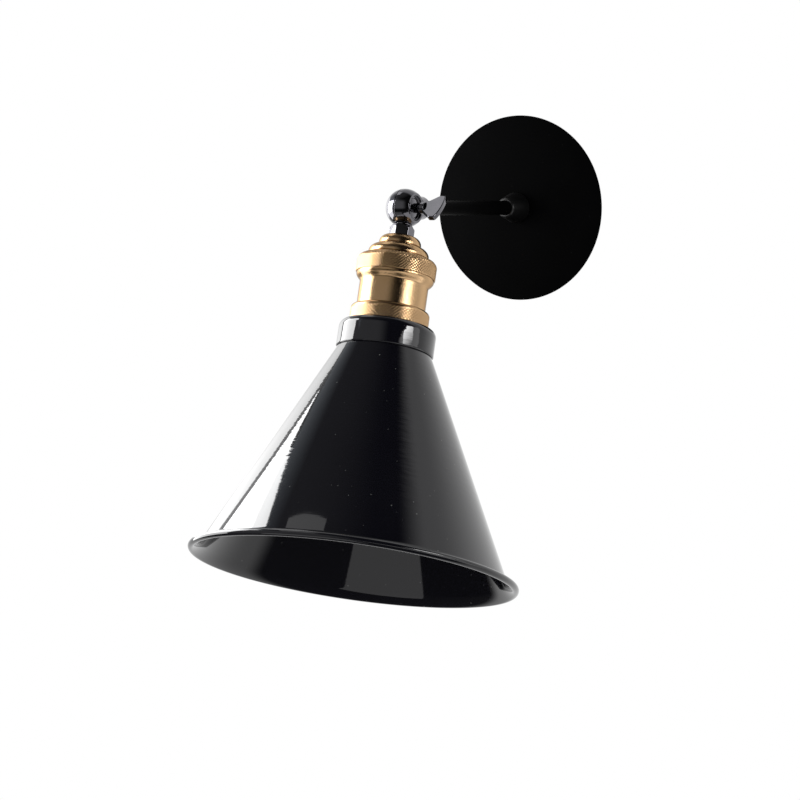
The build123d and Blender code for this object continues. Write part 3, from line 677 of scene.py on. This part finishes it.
tooth = w.add("GeometryNodeMeshCone", {
    "Vertices": 4, "Radius Top": TOOTH_FLAT, "Radius Bottom": 1.0, "Depth": 1.0}, fill_type="NGON")
teeth = w.add("GeometryNodeInstanceOnPoints", {
    "Points": placed.outputs[0], "Instance": tooth.outputs["Mesh"], "Rotation": stand.outputs[0],
    "Scale": w.vector(half_pitch, step, given["Depth"])})
hand_out(w, teeth.outputs[0], given["Material"])

# %% Knurl on the cap and on the shade ring
def knurled(name, band, rows, around):
    """Set teeth on a band of the brass, in rows with so many around."""
    piece = tree_piece(name, knurling, {
        KNURL_IDS["Rows"]: rows, KNURL_IDS["Around"]: around, KNURL_IDS["Depth"]: KNURL * MM,
        KNURL_IDS["Material"]: FINISHES["holder_brass"]}, band)
    piece.data.transform(LAMP_FRAME)
    stands_for(piece, "lamp_head", "holder_brass")


cap_band = [(r - KNURL, h) for r, h in last_dome[KNURL_FROM + 1:]] + [(CAP_R - KNURL, 38.0)]
ring_band = [(RING_R - KNURL, 60.0), (RING_R - KNURL, 65.6)]
knurled("cap_knurl", cap_band, rows=11, around=76)
knurled("shade_ring_knurl", ring_band, rows=7, around=70)

# %% [markdown]
# ## The ball knuckle
# Each half ball is turned about the hinge axis: a flat seam face, the round, and on the lamp's
# half a flat with a recess for the wing screw. The necks stand square to that axis, so they are
# separate solids, joined with Boolean modifiers. Each neck is cut back where the other half swings.

# %% Helpers for joined solids
BALL_R = 10.7
SLIGHT = math.radians(30.0)
nickel = FINISHES["black_nickel"]


def sphere_arc(from_x, to_x, steps=36):
    """Profile points on the ball between two places along the hinge axis."""
    first, last = math.acos(from_x / BALL_R), math.acos(to_x / BALL_R)
    turns = [first + (last - first) * k / steps for k in range(steps + 1)]
    return [(BALL_R * math.sin(t), BALL_R * math.cos(t)) for t in turns]


def joined(piece, operation, tool):
    """Apply one exact Boolean and remove the tool."""
    modifier = piece.modifiers.new(operation, "BOOLEAN")
    modifier.operation = operation
    modifier.solver = "EXACT"
    modifier.object = tool
    settle(piece)
    bpy.data.objects.remove(tool)


def rod(name, radius, low, high, matrix, segments=96):
    """A plain solid cylinder, to join or to cut with."""
    profile = [(0.0, low), (radius, low), (radius, high), (0.0, high)]
    return turned(name, profile, matrix, nickel, segments)


def solid_of(name, work):
    """A piece from a finished bmesh."""
    mesh = bpy.data.meshes.new(name)
    work.to_mesh(mesh)
    work.free()
    mesh.materials.append(nickel)
    return new_piece(name, mesh)


def bevelled(piece, width, segments, over=SLIGHT):
    """Round the edges that turn by more than an angle."""
    rim = piece.modifiers.new("rim", "BEVEL")
    rim.width, rim.segments = width * MM, segments
    rim.limit_method, rim.angle_limit = "ANGLE", over
    return settle(piece)


print("ball", 2 * BALL_R, "mm across")

# %% Half balls with their necks
SWEEP_R = 11.0                        # room that a half ball needs to swing
ARM_SEAM, LAMP_SEAM = -1.15, -0.85
SCREW_HOLE = 2.55
HOLLOW_R = 6.8                        # the leads' room in the ball
DISC_R, DISC_FLOOR = 9.3, -1.35       # the friction disc's recess
RECESS_R, RECESS_FLOOR = 6.9, 5.3     # the wing screw's recess
BALL_FLAT = 6.9
STUB_R = 5.0
ARM_BORE, LAMP_BORE = 3.0, 2.9
BORE_END = 14.0
TUBE_HOLE = 4.05                      # for the arm's tube
SOCKET_FLOOR = 11.5
PAST = 20.0                           # clear of both halves
HEX_FLATS, HEX_LENGTH, HEX_MIDDLE = 12.0, 6.2, 13.1
TRIM_R = 6.98                         # just clear of the hexagon's corners


def bored(piece, bore_r, socket_r, matrix):
    """Cut the leads' bore through a neck, and the socket at its end."""
    joined(piece, "DIFFERENCE", rod("bore", bore_r, 0.0, BORE_END, matrix, segments=64))
    joined(piece, "DIFFERENCE", rod("socket", socket_r, SOCKET_FLOOR, PAST, matrix, segments=64))


arm_half = turned("knuckle_arm_half_turned", softened(
    [(0.0, -9.1), (SCREW_HOLE, -9.1), (SCREW_HOLE, -5.15), (HOLLOW_R, -5.15),
     (HOLLOW_R, DISC_FLOOR), (DISC_R, DISC_FLOOR), (DISC_R, ARM_SEAM)]
    + sphere_arc(ARM_SEAM, -BALL_R), edge=0.3, closed=False), HINGE_FRAME, nickel, segments=144)
arm_neck = turned("arm_neck", softened(
    [(0.0, 6.0), (STUB_R, 6.0), (STUB_R, 10.0), (5.7, 10.0), (6.5, 10.8), (6.5, 16.8), (5.7, 17.6),
     (0.0, 17.6)], edge=0.25, closed=False), ARM_NECK_FRAME, nickel, segments=96)
joined(arm_neck, "DIFFERENCE", rod("swing", SWEEP_R, ARM_SEAM, PAST, HINGE_FRAME))
joined(arm_half, "UNION", arm_neck)
bored(arm_half, ARM_BORE, TUBE_HOLE, ARM_NECK_FRAME)
stands_for(flat_faces(closed_skin(arm_half)), "wall_arm", "black_nickel", "knuckle_arm_half")

lamp_half = turned("knuckle_lamp_half_turned", softened(
    [(SCREW_HOLE, 3.9), (HOLLOW_R, 3.9), (HOLLOW_R, LAMP_SEAM)] + sphere_arc(LAMP_SEAM, BALL_FLAT)
    + [(RECESS_R, BALL_FLAT), (RECESS_R, RECESS_FLOOR), (SCREW_HOLE, RECESS_FLOOR)], edge=0.35),
    HINGE_FRAME, nickel, segments=144)
hex_r = HEX_FLATS * MM / math.sqrt(3)
hexagon = bmesh.new()
bmesh.ops.create_cone(hexagon, cap_ends=True, segments=6, radius1=hex_r, radius2=hex_r,
                      depth=HEX_LENGTH * MM, matrix=Matrix.Translation((0, 0, HEX_MIDDLE * MM)))
lamp_neck = bevelled(solid_of("lamp_neck", hexagon), width=0.3, segments=2)
lamp_neck.data.transform(LAMP_FRAME)
joined(lamp_neck, "INTERSECT", turned("trim", [
    (0.0, 9.0), (5.5, 10.0), (TRIM_R, 12.0), (TRIM_R, 17.0), (0.0, 17.0)],
    LAMP_FRAME, nickel, segments=96))
joined(lamp_neck, "UNION", rod("stub", STUB_R, 6.0, 10.4, LAMP_FRAME))
joined(lamp_neck, "DIFFERENCE", rod("swing", SWEEP_R, -PAST, LAMP_SEAM, HINGE_FRAME))
joined(lamp_half, "UNION", lamp_neck)
bored(lamp_half, LAMP_BORE, NECK_HOLE, LAMP_FRAME)
stands_for(flat_faces(closed_skin(lamp_half)), "lamp_head", "black_nickel", "knuckle_lamp_half")

# %% [markdown]
# ## Leads in the ball
# Two thin sleeved leads loop round the screw inside the hollow ball, from the arm's side to the
# lamp's. Each lead is a smooth curve with a round section, made a mesh.

# %% Bending leads
LEAD_R = 0.6
LEAD_SIDE = 2.1
LEAD_HALF_GAP = 0.7
LEAD_TURN_OUT = 5.0
LEAD_ENTRY = 6.6
LEAD_STRAIGHT = 1.6


def lead_route(side):
    """Points of one lead in millimetres from the hinge, from the arm's side to the lamp's."""
    tilt = math.radians(TILT_DEG)
    down = Vector((0.0, -math.sin(tilt), -math.cos(tilt)))
    outer = Vector((0.0, -math.cos(tilt), math.sin(tilt)))
    back = Vector((0.0, 1.0, 0.0))
    across = Vector((LEAD_SIDE, 0.0, 0.0))
    bend = LEAD_ENTRY - LEAD_STRAIGHT
    at_arm = Vector((0.0, 0.0, side * LEAD_HALF_GAP)) - across
    at_lamp = across + outer * (side * LEAD_HALF_GAP)
    turn = (back + down).normalized() * (LEAD_TURN_OUT - side * LEAD_HALF_GAP)
    return [at_arm + back * LEAD_ENTRY, at_arm + back * bend, turn - across,
            turn + across, at_lamp + down * bend, at_lamp + down * LEAD_ENTRY]


lead_curve = bpy.data.curves.new("knuckle_leads_sleeved", "CURVE")
lead_curve.dimensions = "3D"
lead_curve.bevel_depth, lead_curve.bevel_resolution = LEAD_R * MM, 4
lead_curve.use_fill_caps = True
for side in (-1, 1):
    route = lead_route(side)
    spline = lead_curve.splines.new("NURBS")
    spline.points.add(len(route) - 1)
    for point, place in zip(spline.points, route):
        point.co = (*(HINGE + place * MM), 1.0)
    spline.order_u, spline.use_endpoint_u, spline.resolution_u = 3, True, 10
drawn = new_piece("lead_curve", lead_curve)
drawn_now = drawn.evaluated_get(bpy.context.evaluated_depsgraph_get())
lead_mesh = bpy.data.meshes.new_from_object(drawn_now)
bpy.data.objects.remove(drawn)
lead_mesh.materials.clear()
lead_mesh.materials.append(FINISHES["lead_sleeve"])
leads = closed_skin(new_piece("knuckle_leads_sleeved", lead_mesh))
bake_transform(leads)
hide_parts("knuckle_leads")
print("leads bend between arm and lamp:", len(lead_mesh.polygons), "faces")

# %% [markdown]
# ## The wing screw
# A cast thumb screw: thread, shank and collar are turned about the hinge axis, and the wing is a
# flat fan with a rounded rim. The fan's outline is extruded and bevelled, then joined to the screw.

# %% Wing screw and washer
WING_TURN = math.radians(40.0)
WING_HALF = 8.8
WING_THICK = 3.0
BOW_FROM, BOW = 21.4, 2.0
BOW_STEPS = 8
RIM_OVER = math.radians(60.0)
screw = turned("wing_screw_cast", softened(
    [(0.0, -8.6), (1.9, -8.6), (2.5, -8.0), (2.5, 6.3), (2.75, 6.3), (2.75, 10.4), (3.4, 10.4),
     (3.4, 13.0), (0.0, 13.0)], edge=0.4, closed=False), HINGE_FRAME, nickel, segments=72)
bow_turns = [math.pi / 2 * k / BOW_STEPS for k in range(BOW_STEPS - 1, 0, -1)]
half_fan = [(11.7, 2.8), (18.6, WING_HALF), (BOW_FROM, WING_HALF)] + [
    (BOW_FROM + BOW * math.cos(t), WING_HALF * math.sin(t)) for t in bow_turns]
fan = softened(half_fan + [(BOW_FROM + BOW, 0.0)] + [(x, -y) for x, y in half_fan[::-1]],
               edge=2.0, steps=5)[:-1]
sheet = bmesh.new()
face = sheet.faces.new([sheet.verts.new((x * MM, y * MM, -WING_THICK / 2 * MM)) for x, y in fan])
grown = bmesh.ops.extrude_face_region(sheet, geom=[face])["geom"]
bmesh.ops.translate(sheet, verts=[v for v in grown if isinstance(v, bmesh.types.BMVert)],
                    vec=(0, 0, WING_THICK * MM))
bmesh.ops.recalc_face_normals(sheet, faces=sheet.faces)
wing = bevelled(solid_of("wing", sheet), width=0.55, segments=3, over=RIM_OVER)
wing.data.transform(Matrix.Translation(HINGE) @ Matrix.Rotation(WING_TURN, 4, "X"))
joined(screw, "UNION", wing)
stands_for(flat_faces(closed_skin(screw)), "wing", "black_nickel", "wing_screw")

washer = turned("clamp_washer_turned", softened(
    [(SCREW_HOLE, RECESS_FLOOR), (5.6, RECESS_FLOOR), (5.6, 5.5), (4.6, 5.95), (3.4, 6.25),
     (SCREW_HOLE, 6.3)], edge=0.25), HINGE_FRAME, nickel, segments=96)
stands_for(washer, "washer", "black_nickel", "clamp_washer")

# %% [markdown]
# ## Arm and canopy
# The arm is a plain tube in a tapered boss. The canopy is a very shallow spun dome: its edge is a
# short upright lip, and its top runs level into the seat under the boss.

# %% Boss, arm tube and canopy
SEAT = 5.0
SEAT_R = 9.4
WALL_HOLE = 5.05        # for the nipple from the wall
TUBE_R, TUBE_BORE = 4.0, 3.0
TUBE_START, TUBE_END = 13.05, 120.15
CANOPY_R = 52.5
CANOPY_WALL = 1.0
boss = turned("arm_boss_turned", softened(
    [(WALL_HOLE, SEAT), (8.6, SEAT), (8.6, 6.8), (5.5, 17.9), (4.9, 18.5), (TUBE_HOLE, 18.5),
     (TUBE_HOLE, TUBE_START), (WALL_HOLE, TUBE_START)], edge=0.3),
    WALL_FRAME, FINISHES["boss_black"], segments=128)
stands_for(boss, "wall_arm", "arm_black", "arm_boss")
arm = turned("arm_tube_drawn", softened(
    [(TUBE_BORE, TUBE_START), (TUBE_R, TUBE_START), (TUBE_R, TUBE_END), (TUBE_BORE, TUBE_END)],
    edge=0.15), WALL_FRAME, FINISHES["arm_black"], segments=96)
stands_for(arm, "wall_arm", "arm_black", "arm_tube")


def dome(edge_r, low, high, steps=24):
    """Profile of one side of the canopy's skin, from the level seat out to its edge."""
    radii = [SEAT_R + (edge_r - SEAT_R) * k / steps for k in range(steps + 1)]
    return [(r, high - (high - low) * ((r - SEAT_R) / (edge_r - SEAT_R)) ** 2) for r in radii]


inner_r, inner_seat = CANOPY_R - CANOPY_WALL, SEAT - CANOPY_WALL
canopy_profile = softened(
    [(WALL_HOLE, SEAT)] + dome(CANOPY_R, 1.2, SEAT) + [(CANOPY_R, 0.0), (inner_r, 0.0)]
    + dome(inner_r, 0.35, inner_seat)[::-1] + [(WALL_HOLE, inner_seat)], edge=0.45)
canopy = turned("canopy_spun", canopy_profile, WALL_FRAME, FINISHES["canopy_black"], segments=256)
stands_for(canopy, "wall_arm", "canopy_black", "canopy")

# %% [markdown]
# ## The bulb
# The photograph hides the bulb, so it is a common opal lamp. Its glass is one profile: a neck in
# the cap, a flank that swells without a kink, and a round end.

# %% Bulb glass
BULB_R = 30.0
BULB_CENTRE = 122.8
CAP_END = 68.8
GLASS_START = 54.8
NECK = 12.4
NECK_PULL = 0.55        # how far the flank heads along the neck, as a share of its height
BALL_PULL = 0.75        # how far it heads along the ball, as a share of that
FLANK_STEPS, BALL_STEPS = 24, 40
join = (BULB_R * math.sqrt(0.5), BULB_CENTRE - BULB_R * math.sqrt(0.5))
pull = (join[1] - CAP_END) * NECK_PULL
start, end = Vector((NECK, CAP_END)), Vector(join)
lead_out = start + Vector((0, pull))
lead_in = end - Vector((1, 1)).normalized() * pull * BALL_PULL
flank = []
for k in range(FLANK_STEPS + 1):
    s = k / FLANK_STEPS
    point = (start * (1 - s) ** 3 + lead_out * 3 * s * (1 - s) ** 2
             + lead_in * 3 * s * s * (1 - s) + end * s ** 3)
    flank.append(tuple(point))
ball_turns = [math.radians(-45 + 135 * k / BALL_STEPS) for k in range(1, BALL_STEPS)]
ball = [(BULB_R * math.cos(t), BULB_CENTRE + BULB_R * math.sin(t)) for t in ball_turns]
glass = turned("bulb_glass_blown", softened(
    [(0.0, GLASS_START), (NECK, GLASS_START)] + flank + ball + [(0.0, BULB_CENTRE + BULB_R)],
    closed=False), LAMP_FRAME, FINISHES["opal_glass"], segments=160)
stands_for(glass, "lamp_head", "opal_glass", "bulb_glass")

# %% [markdown]
# ## Studio
# The lamp is lit as the photograph was: a tall softbox close on the left that draws the white
# strip down the shade, fainter panels behind, above and below it, a box on the right with its
# spill, and small cards for the rest. The background is white to the camera, and a white sweep
# behind the lamp shows in the glossy pieces, while the room in front of it is dark. The floor
# can't be seen from below, so it never hides the lamp.

# %% Floor
FLOOR_Z = -0.75
FLOOR_HALF = 2.0
FLOOR_TONE = (0.9, 0.9, 0.9, 1.0)
FLOOR_ROUGH = 0.9
FLOOR_GLOW = 0.4        # paler for the camera alone
floor_mesh = bpy.data.meshes.new("floor")
floor_mesh.from_pydata([(x * FLOOR_HALF, y * FLOOR_HALF, FLOOR_Z)
                        for x, y in ((-1, -1), (1, -1), (1, 1), (-1, 1))], [], [(0, 1, 2, 3)])
floor = new_piece("floor", floor_mesh)
floor_paint = bpy.data.materials.new("floor_paper")
floor_paint.use_nodes = True
w = Wiring(floor_paint.node_tree)
underside = w.add("ShaderNodeNewGeometry").outputs["Backfacing"]
w.fill(floor_paint.node_tree.nodes["Principled BSDF"], {
    "Base Color": FLOOR_TONE, "Roughness": FLOOR_ROUGH, "Emission Strength": FLOOR_GLOW,
    "Emission Color": w.add("ShaderNodeLightPath").outputs["Is Camera Ray"],
    "Alpha": w.math("SUBTRACT", 1.0, underside)})
floor_mesh.materials.append(floor_paint)
floor.visible_glossy = False
print("floor at", FLOOR_Z, "m")

# %% World
UP = Vector((0.0, 0.0, 1.0))
BACK = (0.0, 1.0, 0.0)
LEFT_FRONT = (-0.87, -0.5, 0.0)
OVER_LEFT = (-0.4, 0.0, 0.917)
FILL = 0.6
SWEEP, SWEEP_MIDDLE = 0.7, 0.4
DARK_ROOM = 0.012
GLOW = 0.33
CEILING = 0.1
TABLE = 0.03
world = bpy.data.worlds.new("studio")
scene.world = world
world.use_nodes = True
world.node_tree.nodes.clear()
w = Wiring(world.node_tree)
towards = w.add("ShaderNodeTexCoord").outputs["Generated"]


def facing(direction, low, high, strength=1.0):
    """A soft patch of light around one direction, from nothing at low to its strength at high."""
    turned_to = w.add("ShaderNodeVectorMath", {0: towards, 1: direction}, operation="DOT_PRODUCT")
    return w.add("ShaderNodeMapRange", {
        "Value": turned_to.outputs["Value"], "From Min": low, "From Max": high, "To Max": strength},
        interpolation_type="SMOOTHSTEP").outputs[0]


backdrop = w.math("ADD", facing(BACK, 0.12, 0.4, SWEEP), facing(BACK, 0.5, 1.0, SWEEP_MIDDLE))
above = w.math("MULTIPLY", facing(UP, -0.15, 0.1), facing(-UP, -0.85, -0.55))
front_glow = w.math("MULTIPLY", facing(LEFT_FRONT, -0.15, 0.35, GLOW), above)
ceiling = facing(OVER_LEFT, 0.7, 1.02, CEILING)
table = facing(-UP, 0.2, 0.5, TABLE)
studio = w.math("ADD", w.math("ADD", backdrop, front_glow),
                w.math("ADD", w.math("ADD", ceiling, table), DARK_ROOM))
rays = w.add("ShaderNodeLightPath").outputs
plain = w.math("MAXIMUM", rays["Is Camera Ray"], rays["Is Transmission Ray"])
shine = w.mix("FLOAT", rays["Is Glossy Ray"], FILL, studio)
level = w.mix("FLOAT", plain, shine, 1.0)
sky = w.add("ShaderNodeBackground", {"Color": (1.0, 1.0, 1.0, 1.0), "Strength": level})
w.add("ShaderNodeOutputWorld", {"Surface": sky.outputs[0]})
print("world fill", FILL)

# %% [markdown]
# Glossy black shows its surroundings and little else, so all of these panels but the key only draw
# reflections: they are hidden from diffuse rays, and the light that falls on matte surfaces stays
# at a plain level. Each panel is given by its middle, the way it faces, its size and how bright it
# looks, and a panel can fade from one side to the other.

# %% Softboxes
TO_LEFT, TO_RIGHT = (-1.0, 0.0, 0.0), (1.0, 0.0, 0.0)
LEFT_X, RIGHT_X = -0.35, 0.9
TOP_ROLL = math.radians(39.4)
HAZE_BLUE = (0.75, 0.88, 1.0)
WHITE = (1.0, 1.0, 1.0)
UPRIGHT = 0.99          # past this a panel faces straight up or down


def panel(name, middle, normal, size, brightness, roll=0.0, tint=WHITE, fade=None, matte=False):
    """A rectangular light. fade is (axis, start, end): factors across its width X or height Y."""
    data = bpy.data.lights.new(name, "AREA")
    data.shape = "RECTANGLE"
    data.size, data.size_y = size
    data.energy = brightness * math.pi * size[0] * size[1]
    data.color = tint
    if fade:
        axis, start, end = fade
        data.use_nodes = True
        w = Wiring(data.node_tree)
        across = w.parts(w.add("ShaderNodeNewGeometry").outputs["Parametric"])[axis]
        ramp = w.add("ShaderNodeMapRange", {"Value": across, "To Min": start, "To Max": end})
        w.fill(data.node_tree.nodes["Emission"], {"Strength": ramp.outputs[0]})
    lamp = new_piece(name, data)
    back = -Vector(normal).normalized()
    side = UP.cross(back) if abs(back.z) < UPRIGHT else Vector((1.0, 0.0, 0.0))
    side.normalize()
    turn = Matrix((side, back.cross(side), back)).transposed().to_4x4()
    lamp.matrix_world = Matrix.Translation(middle) @ turn @ Matrix.Rotation(roll, 4, "Z")
    lamp.visible_camera = False
    lamp.visible_diffuse = matte
    lamp.visible_glossy = not matte
    print(f"{name}: {size[0]:.2f} by {size[1]:.2f} m")


panel("left_box", (LEFT_X, -0.255, 0.025), TO_RIGHT, (0.29, 0.25), 10.0)
panel("left_box_top", (LEFT_X, -0.275, 0.163), TO_RIGHT, (0.3, 0.12), 10.0, roll=TOP_ROLL)
panel("left_rear_box", (LEFT_X, 0.01, 0.01), TO_RIGHT, (0.18, 0.3), 1.0, fade=("X", 0.75, 3.6))
panel("left_rear_spill", (LEFT_X, 0.2, 0.01), TO_RIGHT, (0.2, 0.3), 1.0, fade=("X", 0.2, 0.6))
panel("left_haze", (LEFT_X, -0.3, 0.3), TO_RIGHT, (0.5, 0.25), 0.35, tint=HAZE_BLUE,
      fade=("Y", 1.0, 0.0))
panel("right_box", (RIGHT_X, -0.235, 0.155), TO_LEFT, (0.37, 0.21), 1.0, fade=("Y", 0.6, 15.0))
panel("right_box_low", (RIGHT_X, -0.235, -0.125), TO_LEFT, (0.37, 0.35), 1.2)
panel("right_spill_front", (RIGHT_X, -0.52, 0.13), TO_LEFT, (0.2, 0.26), 1.0, fade=("X", 0.2, 2.6))
panel("right_spill_back", (RIGHT_X, 0.1, 0.13), TO_LEFT, (0.3, 0.26), 1.0, fade=("X", 1.5, 0.7))
panel("overhead_card", (-0.018, -0.325, -0.05), -UP, (0.07, 0.08), 0.75)
panel("wing_card", (-0.43, -0.03, 0.774), (0.5, -0.11, -0.86), (0.3, 0.3), 1.35)
panel("low_card", (-0.03, -0.46, -0.38), (0.0, 0.9, 0.45), (0.34, 0.2), 0.6)
panel("left_box_low", (LEFT_X, -0.255, -0.185), TO_RIGHT, (0.29, 0.17), 5.0)
panel("table_card_left", (-0.14, -0.44, -0.19), UP, (0.4, 0.3), 0.25)
panel("table_card_right", (0.275, -0.25, -0.19), UP, (0.35, 0.4), 1.0)
panel("key", (-0.8, -1.0, 0.7), (0.8, 0.85, -0.75), (0.8, 0.8), 1.6, matte=True)
